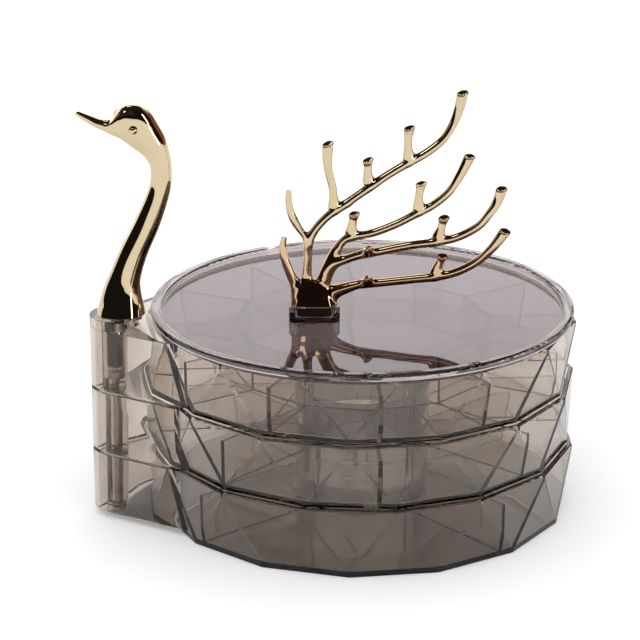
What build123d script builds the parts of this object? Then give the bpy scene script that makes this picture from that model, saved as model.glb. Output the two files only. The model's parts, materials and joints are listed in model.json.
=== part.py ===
from build123d import *
import os
from math import acos, atan2, cos, pi, radians, sin, tan

# Rotating jewellery box: three faceted smoked-clear trays turn one above the other about a hinge
# column at their edge. A round lid closes the top tray and carries a gilt branch, and a gilt swan's
# neck stands in the top of the column. Sizes in millimetres, angles in degrees.
# Frame: +Z up, origin on the trays' own axis at the surface that the box stands on,
# hinge column on the -X side.

# Trays
SIDES = 15                      # sides of the polygons that bound the facets
UPPER_CORNER_RADIUS = 90.0      # from the axis to a corner of a tray's rim
TAPER = 2.3                     # how much nearer the axis a corner of the bottom edge is
WALL = 2.0
FLOOR = 2.0
BASE_TRAY_HEIGHT = 29.0
UPPER_TRAY_HEIGHT = 27.0
RIM_BAND = 1.9                  # plain upright band above the facets
RIM_CHAMFER = 0.45
FACET_TURN = 4.0                # from the hinge line to the nearest corner of the first polygon

# Dividers moulded in the trays
DIVIDER_WALL = 1.6
DIVIDER_DROP = 6.4              # from a tray's rim down to the top of its dividers
DIVIDER_TURN = -6.0             # from the hinge line to the first divider of the upper trays
BASE_DIVIDER_TURN = 30.5
TOP_COMPARTMENTS = 12
MIDDLE_COMPARTMENTS = 8
BASE_COMPARTMENTS = 4
TOP_WELL_RADIUS = 55.0          # corner radius of the many-sided well in the top tray
RING_RADIUS = 28.4              # outer radius of the round well in the two lower trays

# Hinge column and the web that joins it to each tray
HINGE_STAND_OFF = 14.0          # from the trays' corner circle to the hinge axis
SLEEVE_RADIUS = 10.8
SLEEVE_WALL = 2.2               # of the sleeve and of the web's sides
SLEEVE_RISE = 4.0               # top sleeve above the top tray's rim
RIM_HOLLOW_RADIUS = 8.2         # of the hollow that runs on up inside that rise
WEB_LIFT = 2.4                  # underside of the lowest sleeve above the table
WEB_ANGLE = 20.0                # where the web meets the tray, seen from the trays' axis
WEB_RUN_IN = 6.0                # how far the web's sides run on inside the tray before they are trimmed
DECK = 1.2                      # thickness of the web's top, and of the top sleeve's rim
DECK_SLOPE_START = 6.0          # from the hinge axis to where the top deck starts to fall to the rim
DECK_SLOPE_RUN = 8.5
SLEEVE_CHAMFER = 0.8
CORE_RADIUS = 4.6               # tube round the hinge bolt inside each sleeve
PLUG_CORE_RADIUS = 5.6          # tube round the neck's plug inside the top sleeve

# Hinge hardware
BOLT_RADIUS = 1.5
BOLT_HEAD_RADIUS = 2.8
BOLT_HEAD_HEIGHT = 2.4
BOLT_HEAD_CHAMFER = 0.6
BOLT_SLOT_WIDTH = 0.8
BOLT_SLOT_DEPTH = 1.0
BOLT_RECESS = 3.2               # depth of the recess that hides the bolt's head
RECESS_CLEARANCE = 0.4
BORE_CLEARANCE = 0.08           # radial, turning sleeves on the bolt
THREAD_CLEARANCE = 0.04         # radial, nut and washers on the bolt
SPACER_THICKNESS = 0.5
SPACER_RADIUS = 4.4
NUT_ACROSS_FLATS = 5.5
NUT_THICKNESS = 2.4
WASHER_THICKNESS = 0.5
WASHER_RADIUS = 3.1
BOLT_STAND_OUT = 0.8            # bolt end above the nut
TOP_SLEEVE_FLOOR = 4.5          # thickness at the bottom of the top sleeve's bore

# Lid
LID_INSET = 1.1                 # how far the lid's edge lies inside the trays' corner circle
LID_RIM_WIDTH = 4.6
LID_RIM_HEIGHT = 2.8            # above the tray's rim
LID_PANEL = 2.0
LID_PANEL_DROP = 0.2            # panel's top below the tray's rim
LID_PLUG_CLEARANCE = 0.6        # between the sunk panel and the tray's wall
LID_RIM_ROUND = 1.2
LID_SMALL_ROUND = 0.4

# Socket for the branch, moulded on the lid, and the lid's own turn
LID_TURN = -10.0
SOCKET_X = -20.1
SOCKET_Y = -11.7
SOCKET_LENGTH = 21.2
SOCKET_WIDTH = 13.0
SOCKET_HEIGHT = 6.2
SOCKET_ROUND = 3.0
SOCKET_CHAMFER = 0.5
TENON_LENGTH = 16.0
TENON_WIDTH = 7.4
TENON_DEPTH = 4.6
TENON_ROUND = 2.0
TENON_CLEARANCE = 0.05

# Branch
BRANCH_REACH = 80.0
BRANCH_HEIGHT = 90.0
BUTT_LENGTH = 20.4
BUTT_WIDTH = 10.0
BUTT_TOP_LENGTH = 13.0
BUTT_TOP_WIDTH = 7.0
BUTT_HEIGHT = 9.0
BUTT_ROUND = 1.75
TRUNK_RADIUS = 2.1
LIMB_RADIUS = 1.5
TWIG_RADIUS = 1.35
FLARE_RADIUS = 2.3              # at a tip of a limb or twig
FLARE_LENGTH = 7.0
FLARE_START_SHARE = 0.8         # of the bar's radius, where the flare starts inside it
TIP_CHAMFER = 0.6
KNOB_RADIUS = 1.9
ARC_RUN_SHARE = 0.45            # share of a run that the arc at its end may take

# Swan's neck
NECK_HEIGHT = 89.0
NECK_BASE_WIDTH = 20.2
NECK_FORWARD = 2.4              # centre of the neck's foot from the hinge axis, towards the trays
PLUG_RADIUS = 3.3
PLUG_CLEARANCE = 0.05
EYE_RADIUS = 1.7
EYE_STAND_OUT = 0.7
OVERRUN = 1.0                   # how far one solid runs past a face of another, to cut it or to join it

# Corners of each limb's path as shares of the branch's reach, reach and height: along, across, up.
# The arcs that join the runs pass a little inside these corners.
LIMB_SHARES = {
    "trunk": ((-0.035, 0.0, 0.06), (-0.031, 0.0, 0.32)),
    "first": ((-0.031, 0.0, 0.31), (0.0, 0.002, 0.355), (0.08, 0.02, 0.425), (0.23, 0.057, 0.51),
              (0.37, 0.092, 0.595), (0.575, 0.144, 0.675), (0.71, 0.177, 0.765), (0.755, 0.188, 0.87),
              (0.762, 0.19, 0.958)),
    "second": ((0.0, 0.0, 0.06), (0.055, 0.007, 0.165), (0.105, 0.013, 0.255), (0.165, 0.02, 0.315),
               (0.31, 0.037, 0.328), (0.53, 0.064, 0.415), (0.69, 0.083, 0.505), (0.765, 0.092, 0.6),
               (0.8, 0.096, 0.69)),
    "third": ((0.035, 0.002, 0.12), (0.09, 0.004, 0.19), (0.23, 0.008, 0.23), (0.42, 0.013, 0.267),
              (0.64, 0.02, 0.288), (0.77, 0.023, 0.313), (0.87, 0.026, 0.37), (0.94, 0.028, 0.465),
              (0.96, 0.029, 0.545)),
    "fourth": ((0.03, 0.0, 0.055), (0.135, -0.005, 0.063), (0.225, -0.009, 0.096), (0.45, -0.018, 0.115),
               (0.65, -0.026, 0.132), (0.77, -0.03, 0.168), (0.87, -0.034, 0.224), (0.935, -0.037, 0.29),
               (0.985, -0.04, 0.365)),
    "back": ((-0.031, 0.0, 0.31), (-0.075, 0.0, 0.355), (-0.125, 0.0, 0.43), (-0.137, 0.0, 0.49),
             (-0.13, 0.0, 0.545)),
    "low": ((-0.06, 0.0, 0.02), (-0.108, 0.0, 0.065), (-0.153, 0.0, 0.16), (-0.171, 0.0, 0.25),
            (-0.158, 0.0, 0.32)),
}
TWIG_SHARES = (
    ((0.1, 0.025, 0.44), (0.094, 0.023, 0.545), (0.071, 0.018, 0.65), (0.069, 0.018, 0.76)),
    ((0.283, 0.07, 0.54), (0.273, 0.068, 0.67)),
    ((0.487, 0.121, 0.64), (0.481, 0.12, 0.74), (0.488, 0.121, 0.808)),
    ((0.188, 0.022, 0.315), (0.208, 0.025, 0.427)),
    ((0.538, 0.065, 0.42), (0.54, 0.065, 0.487), (0.549, 0.066, 0.557)),
    ((0.627, 0.019, 0.29), (0.668, 0.02, 0.412)),
    ((0.615, -0.025, 0.13), (0.66, -0.026, 0.24)),
)
KNOB_SHARES = (
    ((0.281, 0.009, 0.24), (0.281, -0.04, 0.27)),
    ((0.272, -0.011, 0.1), (0.274, -0.06, 0.128)),
)

# Sections of the neck from foot to beak: place along and up as shares of the neck's height, then
# in-plane width and thickness across as shares of the foot's width, and the section's lean
NECK_SHARES = (
    (0.0, 0.0, 1.0, 0.9, 0.0),
    (0.002, 0.072, 0.84, 0.76, 0.0),
    (0.011, 0.128, 0.69, 0.64, -8.0),
    (0.027, 0.185, 0.6, 0.55, -18.0),
    (0.07, 0.3, 0.52, 0.48, -27.0),
    (0.141, 0.446, 0.48, 0.44, -22.0),
    (0.194, 0.597, 0.43, 0.42, -10.0),
    (0.202, 0.691, 0.41, 0.42, 7.0),
    (0.192, 0.743, 0.44, 0.43, 24.0),
    (0.172, 0.792, 0.53, 0.45, 39.0),
    (0.141, 0.838, 0.65, 0.48, 51.0),
    (0.108, 0.876, 0.745, 0.51, 57.0),
    (0.068, 0.91, 0.78, 0.52, 62.0),
    (0.022, 0.928, 0.7, 0.49, 65.0),
    (-0.016, 0.92, 0.5, 0.42, 58.0),
    (-0.046, 0.911, 0.31, 0.34, 46.0),
    (-0.081, 0.917, 0.21, 0.28, 38.0),
    (-0.126, 0.94, 0.13, 0.18, 38.0),
    (-0.179, 0.969, 0.08, 0.08, 36.0),
)
HEAD_SECTIONS = 8               # how many of these, the last ones, shape the head and beak
EYE_SHARES = (0.076, 0.888)     # along and up, as shares of the neck's height

HALF_STEP = 180.0 / SIDES
LOWER_CORNER_RADIUS = UPPER_CORNER_RADIUS - TAPER
LID_RADIUS = UPPER_CORNER_RADIUS - LID_INSET
WALL_AT_CORNER = WALL / cos(radians(HALF_STEP))
MIDDLE_Z = BASE_TRAY_HEIGHT + SPACER_THICKNESS
TOP_Z = MIDDLE_Z + UPPER_TRAY_HEIGHT + SPACER_THICKNESS
RIM_Z = TOP_Z + UPPER_TRAY_HEIGHT
SLEEVE_TOP_Z = RIM_Z + SLEEVE_RISE
PANEL_TOP_Z = RIM_Z - LID_PANEL_DROP
SEAT_Z = PANEL_TOP_Z + SOCKET_HEIGHT
HINGE_X = -(UPPER_CORNER_RADIUS + HINGE_STAND_OFF)
BORE_RADIUS = BOLT_RADIUS + BORE_CLEARANCE
PLUG_BORE_RADIUS = PLUG_RADIUS + PLUG_CLEARANCE
NUT_SEAT_Z = TOP_Z + TOP_SLEEVE_FLOOR
NUT_Z = NUT_SEAT_Z + WASHER_THICKNESS
BOLT_TOP_Z = NUT_Z + NUT_THICKNESS + BOLT_STAND_OUT
PLUG_BOTTOM_Z = BOLT_TOP_Z + OVERRUN
HEAD_SEAT_Z = WEB_LIFT + BOLT_RECESS


def around(radius, turn, height):
    """Point at a radius and height, turned from the hinge line anticlockwise seen from above."""
    angle = radians(180.0 + turn)
    return Vector(radius * cos(angle), radius * sin(angle), height)


def corners(radius, turn, height):
    return [around(radius, turn + 2 * HALF_STEP * k, height) for k in range(SIDES)]


def prism(radius, turn, low, high):
    outline = Face(Wire.make_polygon(corners(radius, turn, low)))
    return Solid.extrude(outline, Vector(0, 0, high - low))


def facets(lower_radius, upper_radius, turn, low, high):
    """Solid between two polygons, the upper one half a step round, with triangles between them."""
    below = corners(lower_radius, turn, low)
    above = corners(upper_radius, turn + HALF_STEP, high)
    faces = [Face(Wire.make_polygon(below)), Face(Wire.make_polygon(above))]
    for k in range(SIDES):
        after = (k + 1) % SIDES
        faces.append(Face(Wire.make_polygon([below[k], below[after], above[k]])))
        faces.append(Face(Wire.make_polygon([above[k], above[after], below[after]])))
    return Solid(Shell(faces))


def upright(radius, low, high, x=0.0, y=0.0):
    """Upright cylinder between two heights."""
    return Pos(x, y, low) * Cylinder(radius, high - low, align=(Align.CENTER, Align.CENTER, Align.MIN))


def tray_outside(turn, low, height):
    shoulder = low + height - RIM_BAND
    faceted = facets(LOWER_CORNER_RADIUS, UPPER_CORNER_RADIUS, turn, low, shoulder)
    band = Part(prism(UPPER_CORNER_RADIUS, turn + HALF_STEP, shoulder, low + height).wrapped)
    band = chamfer(band.edges().group_by(Axis.Z)[-1], RIM_CHAMFER)
    return band + faceted


def tray_hollow(turn, low, height):
    """What the tray's floor and wall leave free, up past the rim."""
    shoulder = low + height - RIM_BAND
    lower = LOWER_CORNER_RADIUS - WALL_AT_CORNER
    upper = UPPER_CORNER_RADIUS - WALL_AT_CORNER
    faceted = facets(lower, upper, turn, low + FLOOR, shoulder)
    band = prism(upper, turn + HALF_STEP, shoulder, low + height + OVERRUN)
    return Part() + faceted + band


def radial_walls(count, turn, inner, outer, low, high):
    walls = []
    for k in range(count):
        wall = Box(outer - inner, DIVIDER_WALL, high - low, align=(Align.MIN, Align.CENTER, Align.MIN))
        walls.append(Rot(0, 0, 180.0 + turn + 360.0 * k / count) * Pos(inner, 0, low) * wall)
    return walls


def round_well(low, high):
    return upright(RING_RADIUS, low, high) - upright(RING_RADIUS - DIVIDER_WALL, low, high)


def many_sided_well(low, high):
    """Well with one flat side for each compartment round it, its corners at the dividers."""
    thickness = DIVIDER_WALL / cos(pi / TOP_COMPARTMENTS)

    def side_prism(radius):
        points = [around(radius, DIVIDER_TURN + 360.0 * k / TOP_COMPARTMENTS, low)
                  for k in range(TOP_COMPARTMENTS)]
        return Solid.extrude(Face(Wire.make_polygon(points)), Vector(0, 0, high - low))

    return Part() + side_prism(TOP_WELL_RADIUS) - side_prism(TOP_WELL_RADIUS - thickness)


def web_outline(radius):
    """Teardrop: arc round the hinge axis and two sides tangent to it that run on into the tray.

    Each side is parallel to the one that leaves the full sleeve for the tray's corner circle."""
    touches, ends = [], []
    for side in (1, -1):
        meet = around(UPPER_CORNER_RADIUS, side * WEB_ANGLE, 0)
        span = Vector(meet.X - HINGE_X, meet.Y, 0)
        normal = atan2(span.Y, span.X) - side * acos(SLEEVE_RADIUS / span.length)
        touch = Vector(HINGE_X + radius * cos(normal), radius * sin(normal), 0)
        run = Vector(-side * sin(normal), side * cos(normal), 0) * (span.length + WEB_RUN_IN)
        touches.append(touch)
        ends.append(touch + run)
    arc = ThreePointArc(touches[0], Vector(HINGE_X - radius, 0, 0), touches[1])
    sides = Polyline(touches[1], ends[1], ends[0], touches[0])
    return make_face([*arc.edges(), *sides.edges()])


def web(low, high):
    solid = extrude(Pos(0, 0, low) * web_outline(SLEEVE_RADIUS), high - low)
    foot_edges = solid.faces().sort_by(Axis.Z)[0].outer_wire().edges()
    return chamfer(foot_edges.sort_by(Axis.X)[:-1], SLEEVE_CHAMFER)


def web_pocket(low, high, core_radius):
    inner = extrude(Pos(0, 0, low) * web_outline(SLEEVE_RADIUS - SLEEVE_WALL), high - low)
    return inner - upright(core_radius, low - OVERRUN, high + OVERRUN, HINGE_X)


def tray(name, turn, low, height):
    """One moulding: faceted wall, floor, dividers, web and hinge sleeve."""
    outside = tray_outside(turn, low, height)
    hollow = tray_hollow(turn, low, height)
    floor_top = low + FLOOR
    divider_top = low + height - DIVIDER_DROP
    if name == "top_tray":
        well = many_sided_well(floor_top - FLOOR / 2, divider_top)
        count, divider_turn, inner = TOP_COMPARTMENTS, DIVIDER_TURN, TOP_WELL_RADIUS - DIVIDER_WALL
    else:
        well = round_well(floor_top - FLOOR / 2, divider_top)
        inner = RING_RADIUS - DIVIDER_WALL / 2
        count = MIDDLE_COMPARTMENTS if name == "middle_tray" else BASE_COMPARTMENTS
        divider_turn = DIVIDER_TURN if name == "middle_tray" else BASE_DIVIDER_TURN
    walls = radial_walls(count, divider_turn, inner, UPPER_CORNER_RADIUS, floor_top - FLOOR / 2, divider_top)
    dividers = (well + walls) & outside

    web_low = WEB_LIFT if name == "bottom_tray" else low
    web_high = SLEEVE_TOP_Z if name == "top_tray" else low + height
    core_radius = PLUG_CORE_RADIUS if name == "top_tray" else CORE_RADIUS
    arm = web(web_low, web_high)
    if name == "top_tray":
        arm = arm - deck_slope()
    pocket_top = low + height - DECK
    arm = arm - web_pocket(web_low - OVERRUN, pocket_top, core_radius)
    if name == "top_tray":
        arm = arm - ring(RIM_HOLLOW_RADIUS, core_radius, pocket_top - OVERRUN, SLEEVE_TOP_Z - DECK)
    body = (outside - hollow) + (arm - outside - hollow) + dividers
    return body - bores(name, web_low, web_high)


def deck_slope():
    """Cuts the top deck down from the sleeve's rim to the tray's rim."""
    start = HINGE_X + DECK_SLOPE_START
    end = start + DECK_SLOPE_RUN
    side = Polyline((start, SLEEVE_TOP_Z), (end, RIM_Z), (0, RIM_Z),
                    (0, SLEEVE_TOP_Z + OVERRUN), (start, SLEEVE_TOP_Z + OVERRUN), (start, SLEEVE_TOP_Z))
    wedge = extrude(Plane.XZ * make_face(side), UPPER_CORNER_RADIUS, both=True)
    return wedge - upright(SLEEVE_RADIUS, RIM_Z - OVERRUN, SLEEVE_TOP_Z + 2 * OVERRUN, HINGE_X)


def bores(name, low, high):
    bore = upright(BORE_RADIUS, low - OVERRUN, high + OVERRUN, HINGE_X)
    if name == "bottom_tray":
        recess = upright(BOLT_HEAD_RADIUS + RECESS_CLEARANCE, low - OVERRUN, HEAD_SEAT_Z, HINGE_X)
        return bore + recess
    if name == "top_tray":
        return bore + upright(PLUG_BORE_RADIUS, NUT_SEAT_Z, high + OVERRUN, HINGE_X)
    return bore


def hinge_bolt():
    shank = upright(BOLT_RADIUS, HEAD_SEAT_Z - OVERRUN, BOLT_TOP_Z, HINGE_X)
    head = upright(BOLT_HEAD_RADIUS, HEAD_SEAT_Z - BOLT_HEAD_HEIGHT, HEAD_SEAT_Z, HINGE_X)
    head = chamfer(head.edges().group_by(Axis.Z)[0], BOLT_HEAD_CHAMFER)
    slot = Pos(HINGE_X, 0, HEAD_SEAT_Z - BOLT_HEAD_HEIGHT) * Box(
        2 * BOLT_HEAD_RADIUS + OVERRUN, BOLT_SLOT_WIDTH, 2 * BOLT_SLOT_DEPTH)
    return shank + head - slot


def ring(outer, inner, low, high):
    return upright(outer, low, high, HINGE_X) - upright(inner, low - OVERRUN, high + OVERRUN, HINGE_X)


def hinge_nut():
    corner = NUT_ACROSS_FLATS / 2 / cos(pi / 6)
    hexagon = extrude(Pos(HINGE_X, 0, NUT_Z) * RegularPolygon(corner, 6), NUT_THICKNESS)
    hole = upright(BOLT_RADIUS + THREAD_CLEARANCE, NUT_Z - OVERRUN, BOLT_TOP_Z, HINGE_X)
    return hexagon - hole


def lid():
    """Dish with a raised round rim, sunk into the tray's mouth, and the branch's socket on it."""
    plug_radius = (UPPER_CORNER_RADIUS - WALL_AT_CORNER) * cos(radians(HALF_STEP)) - LID_PLUG_CLEARANCE
    inner = LID_RADIUS - LID_RIM_WIDTH
    crown = RIM_Z + LID_RIM_HEIGHT
    under = PANEL_TOP_Z - LID_PANEL
    profile = make_face(Polyline((0, under), (plug_radius, under), (plug_radius, RIM_Z), (LID_RADIUS, RIM_Z),
                                 (LID_RADIUS, crown), (inner, crown), (inner, PANEL_TOP_Z), (0, PANEL_TOP_Z),
                                 (0, under)))
    crests = [v for v in profile.vertices() if v.Y > crown - LID_SMALL_ROUND]
    profile = fillet(crests, LID_RIM_ROUND)
    low_corners = [v for v in profile.vertices() if v.X > inner and v.Y < RIM_Z - LID_SMALL_ROUND]
    profile = fillet(low_corners, LID_SMALL_ROUND)
    dish = revolve(Plane.XZ * profile, Axis.Z)
    place = Pos(SOCKET_X, SOCKET_Y, PANEL_TOP_Z - LID_PANEL / 2)
    socket = extrude(place * RectangleRounded(SOCKET_LENGTH, SOCKET_WIDTH, SOCKET_ROUND),
                     SOCKET_HEIGHT + LID_PANEL / 2)
    socket = chamfer(socket.edges().group_by(Axis.Z)[-1], SOCKET_CHAMFER)
    pocket = extrude(Pos(SOCKET_X, SOCKET_Y, SEAT_Z - TENON_DEPTH) * RectangleRounded(
        TENON_LENGTH + 2 * TENON_CLEARANCE, TENON_WIDTH + 2 * TENON_CLEARANCE,
        TENON_ROUND + TENON_CLEARANCE), TENON_DEPTH + OVERRUN)
    return Rot(0, 0, LID_TURN) * (dish + socket - pocket)


def branch_point(shares):
    along, across, up = shares
    return Vector(along * BRANCH_REACH, across * BRANCH_REACH, up * BRANCH_HEIGHT)


def tube(points, radius):
    """Round bar along straight runs joined by tangent arcs, as large as the runs allow."""
    runs = [(b - a) for a, b in zip(points, points[1:])]
    radii = []
    for before, after in zip(runs, runs[1:]):
        turn = radians(before.get_angle(after))
        radii.append(ARC_RUN_SHARE * min(before.length, after.length) / tan(turn / 2))
    path = FilletPolyline(*points, radius=radii) if radii else Line(*points)
    return sweep(Plane(points[0], z_dir=runs[0]) * Circle(radius), path=path)


def flared_tip(points, radius):
    """Cone that comes out of the bar and widens to the tip, with a blunted end."""
    last = points[-1] - points[-2]
    length = min(FLARE_LENGTH, last.length)
    start = points[-1] - last.normalized() * length
    cone = Plane(start, z_dir=last) * Cone(radius * FLARE_START_SHARE, FLARE_RADIUS, length,
                                           align=(Align.CENTER, Align.CENTER, Align.MIN))
    return cone.chamfer(TIP_CHAMFER, None, [cone.edges().sort_by(
        lambda edge: (edge.center() - points[-1]).length)[0]])


def tail_branch():
    butt = loft([Rectangle(BUTT_LENGTH, BUTT_WIDTH), Pos(0, 0, BUTT_HEIGHT) * Rectangle(
        BUTT_TOP_LENGTH, BUTT_TOP_WIDTH)])
    butt = fillet(butt.edges().filter_by(Axis.Z, reverse=True).group_by(Axis.Z)[-1], BUTT_ROUND)
    shape = butt + extrude(Pos(0, 0, -TENON_DEPTH) * RectangleRounded(
        TENON_LENGTH, TENON_WIDTH, TENON_ROUND), TENON_DEPTH + OVERRUN)
    for name, shares in LIMB_SHARES.items():
        points = [branch_point(share) for share in shares]
        radius = TRUNK_RADIUS if name == "trunk" else LIMB_RADIUS
        shape += tube(points, radius)
        if name == "trunk":
            shape += Pos(points[-1]) * Sphere(TRUNK_RADIUS)
        else:
            shape += flared_tip(points, radius)
    for shares in TWIG_SHARES:
        points = [branch_point(share) for share in shares]
        shape += tube(points, TWIG_RADIUS)
        shape += flared_tip(points, TWIG_RADIUS)
    for shares in KNOB_SHARES:
        points = [branch_point(share) for share in shares]
        shape += tube(points, TWIG_RADIUS)
        shape += Pos(points[-1]) * Sphere(KNOB_RADIUS)
    return Rot(0, 0, LID_TURN) * Pos(SOCKET_X, SOCKET_Y, SEAT_Z) * shape


def swan_neck():
    sections = []
    for along, up, width, thickness, lean in NECK_SHARES:
        centre = Vector(HINGE_X + NECK_FORWARD + along * NECK_HEIGHT, 0, SLEEVE_TOP_Z + up * NECK_HEIGHT)
        across = Vector(cos(radians(lean)), 0, sin(radians(lean)))
        upward = Vector(-sin(radians(lean)), 0, cos(radians(lean)))
        plane = Plane(centre, x_dir=across, z_dir=upward)
        sections.append(plane * Ellipse(width * NECK_BASE_WIDTH / 2, thickness * NECK_BASE_WIDTH / 2))
    along, up, tip_width = NECK_SHARES[-1][:3]
    tip = Vector(HINGE_X + NECK_FORWARD + along * NECK_HEIGHT, 0, SLEEVE_TOP_Z + up * NECK_HEIGHT)
    neck = loft(sections) + Pos(tip) * Sphere(tip_width * NECK_BASE_WIDTH / 2)
    neck += upright(PLUG_RADIUS, PLUG_BOTTOM_Z, SLEEVE_TOP_Z + OVERRUN, HINGE_X)
    along, up = EYE_SHARES
    for side in (-1, 1):
        cheek = side * (thickness_at_eye() - EYE_RADIUS + EYE_STAND_OUT)
        neck += Pos(HINGE_X + NECK_FORWARD + along * NECK_HEIGHT, cheek,
                    SLEEVE_TOP_Z + up * NECK_HEIGHT) * Sphere(EYE_RADIUS)
    return neck


def thickness_at_eye():
    """Half the head's thickness at its widest section."""
    return max(share[3] for share in NECK_SHARES[-HEAD_SECTIONS:]) * NECK_BASE_WIDTH / 2


PARTS = {
    "bottom_tray": tray("bottom_tray", FACET_TURN, 0.0, BASE_TRAY_HEIGHT),
    "middle_tray": tray("middle_tray", FACET_TURN - HALF_STEP, MIDDLE_Z, UPPER_TRAY_HEIGHT),
    "top_tray": tray("top_tray", FACET_TURN, TOP_Z, UPPER_TRAY_HEIGHT),
    "lid": lid(),
    "tail_branch": tail_branch(),
    "swan_neck": swan_neck(),
    "hinge_bolt": hinge_bolt(),
    "hinge_nut": hinge_nut(),
    "nut_washer": ring(WASHER_RADIUS, BOLT_RADIUS + THREAD_CLEARANCE, NUT_SEAT_Z, NUT_Z),
    "lower_spacer": ring(SPACER_RADIUS, BOLT_RADIUS + THREAD_CLEARANCE, BASE_TRAY_HEIGHT, MIDDLE_Z),
    "upper_spacer": ring(SPACER_RADIUS, BOLT_RADIUS + THREAD_CLEARANCE, TOP_Z - SPACER_THICKNESS, TOP_Z),
}

os.makedirs("parts", exist_ok=True)
for node, shape in PARTS.items():
    export_step(shape, f"parts/{node}.step")
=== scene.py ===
import json
from math import ceil, cos, pi, radians, sin

import bmesh
import bpy
import numpy as np
from bpy.props import FloatProperty, FloatVectorProperty, IntProperty, PointerProperty
from mathutils import Matrix, Vector


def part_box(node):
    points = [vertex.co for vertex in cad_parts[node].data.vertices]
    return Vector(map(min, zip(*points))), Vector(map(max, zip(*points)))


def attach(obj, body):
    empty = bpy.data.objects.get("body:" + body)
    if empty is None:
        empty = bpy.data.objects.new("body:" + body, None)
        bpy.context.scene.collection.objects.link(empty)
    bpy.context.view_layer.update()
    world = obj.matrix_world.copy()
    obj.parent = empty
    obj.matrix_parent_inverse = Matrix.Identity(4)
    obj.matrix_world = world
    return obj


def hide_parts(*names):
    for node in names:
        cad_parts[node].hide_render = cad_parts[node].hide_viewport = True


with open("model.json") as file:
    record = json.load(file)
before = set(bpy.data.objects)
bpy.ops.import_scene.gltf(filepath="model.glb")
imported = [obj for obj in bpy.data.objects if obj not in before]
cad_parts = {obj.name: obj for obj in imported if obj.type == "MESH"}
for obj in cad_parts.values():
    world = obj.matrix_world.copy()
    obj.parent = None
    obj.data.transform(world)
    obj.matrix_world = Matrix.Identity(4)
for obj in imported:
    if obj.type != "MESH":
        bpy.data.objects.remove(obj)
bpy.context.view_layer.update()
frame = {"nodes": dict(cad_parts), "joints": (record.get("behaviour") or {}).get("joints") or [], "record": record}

bl_info = {
    "name": "Rotating jewellery box",
    "version": (1, 0, 0),
    "blender": (4, 5, 0),
    "location": "View3D > Sidebar > Jewellery box",
    "description": "Dresses the swivel trays, the lid, the swan's neck and the branch, and sets the stage",
    "category": "Object",
}

# The CAD box, before anything is dressed
MM = 0.001

# Places taken from the frame, in metres
JOINTS = {joint["name"]: joint for joint in frame["joints"]}
HINGE = Vector(JOINTS["top_tray_swing"]["pos_m"])
BODY_OF = {node: body for body, nodes in frame["record"]["behaviour"]["bodies"].items() for node in nodes}
SLEEVE_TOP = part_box("top_tray")[1][2]
PLUG_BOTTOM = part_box("swan_neck")[0][2]
SOCKET_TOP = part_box("lid")[1][2]
TENON_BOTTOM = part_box("tail_branch")[0][2]

# Sections of the neck, foot to beak, in millimetres from the hinge axis and above the sleeve's top: centre along,
# centre up, width in the plane of the neck, width across, lean in degrees, and how square it is (2 is an ellipse)
NECK_SECTIONS = (
    (2.25, 0, 20.3, 18.8, 0, 2),
    (2.5, 3.2, 18.9, 16.7, -1.5, 2),
    (2.7, 6.4, 17.4, 14.8, -4, 2),
    (3.4, 11.4, 15, 12.5, -10, 2),
    (4.7, 16.5, 12.8, 11.1, -18, 2),
    (8.5, 26.7, 11.3, 10, -25, 2),
    (14.7, 39.8, 10.3, 9.1, -21, 2),
    (19.6, 53.1, 8.9, 8.6, -10, 2),
    (20.2, 61.5, 8.8, 8.7, 7, 2),
    (19.3, 66, 9.7, 8.9, 24, 2),
    (17.6, 70.4, 11.7, 9.3, 39, 2),
    (14.8, 74.5, 14, 9.9, 51, 2.1),
    (12, 78.1, 16.2, 10.5, 57, 2.35),
    (8.6, 80.9, 16.3, 10.7, 62, 2.6),
    (4.5, 82.2, 14.25, 10.1, 66.5, 2.7),
    (2.4, 82.2, 12.8, 9.4, 67.5, 2.7),
    (0.9, 82.15, 10.9, 8.7, 64, 2.6),
    (-0.2, 81.95, 9.4, 8, 55.6, 2.5),
    (-1.1, 81.5, 8.2, 7.4, 43.8, 2.4),
    (-2.45, 81.2, 7.1, 6.6, 33, 2.2),
    (-4.25, 81.35, 5.5, 5.9, 36, 2),
    (-5.9, 81.8, 4.4, 5.3, 41, 2),
    (-9.05, 83.5, 3.4, 3.6, 41, 2),
    (-12.2, 85.2, 2.5, 2.2, 41, 2),
    (-13.5, 86.15, 1.65, 1.5, 38, 2),
)
# The neck's foot stands this little above the sleeve, so that glass and gilt never share a face
FOOT_LIFT = 0.03 * MM
# How far the beak's point lies beyond the last section, and its droop in degrees
BEAK_POINT = 0.4 * MM
BEAK_DROOP = 8.0
# Middle of the eye on each cheek in millimetres: along, out to the side, up; and its radius
EYE = (8.6, 4.6, 79.1)
EYE_RADIUS = 2.0
# The neck's plug: radii and heights above its bottom in millimetres, up to the sleeve's top
PLUG_PROFILE = ((0.8, 0), (2.6, 0), (3.25, 0.6), (3.25, 5), (3.1, 5.3), (3.1, 5.9), (3.25, 6.2),
                (3.25, (SLEEVE_TOP - PLUG_BOTTOM) / MM))
PLUG_SIDES = 48

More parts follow.
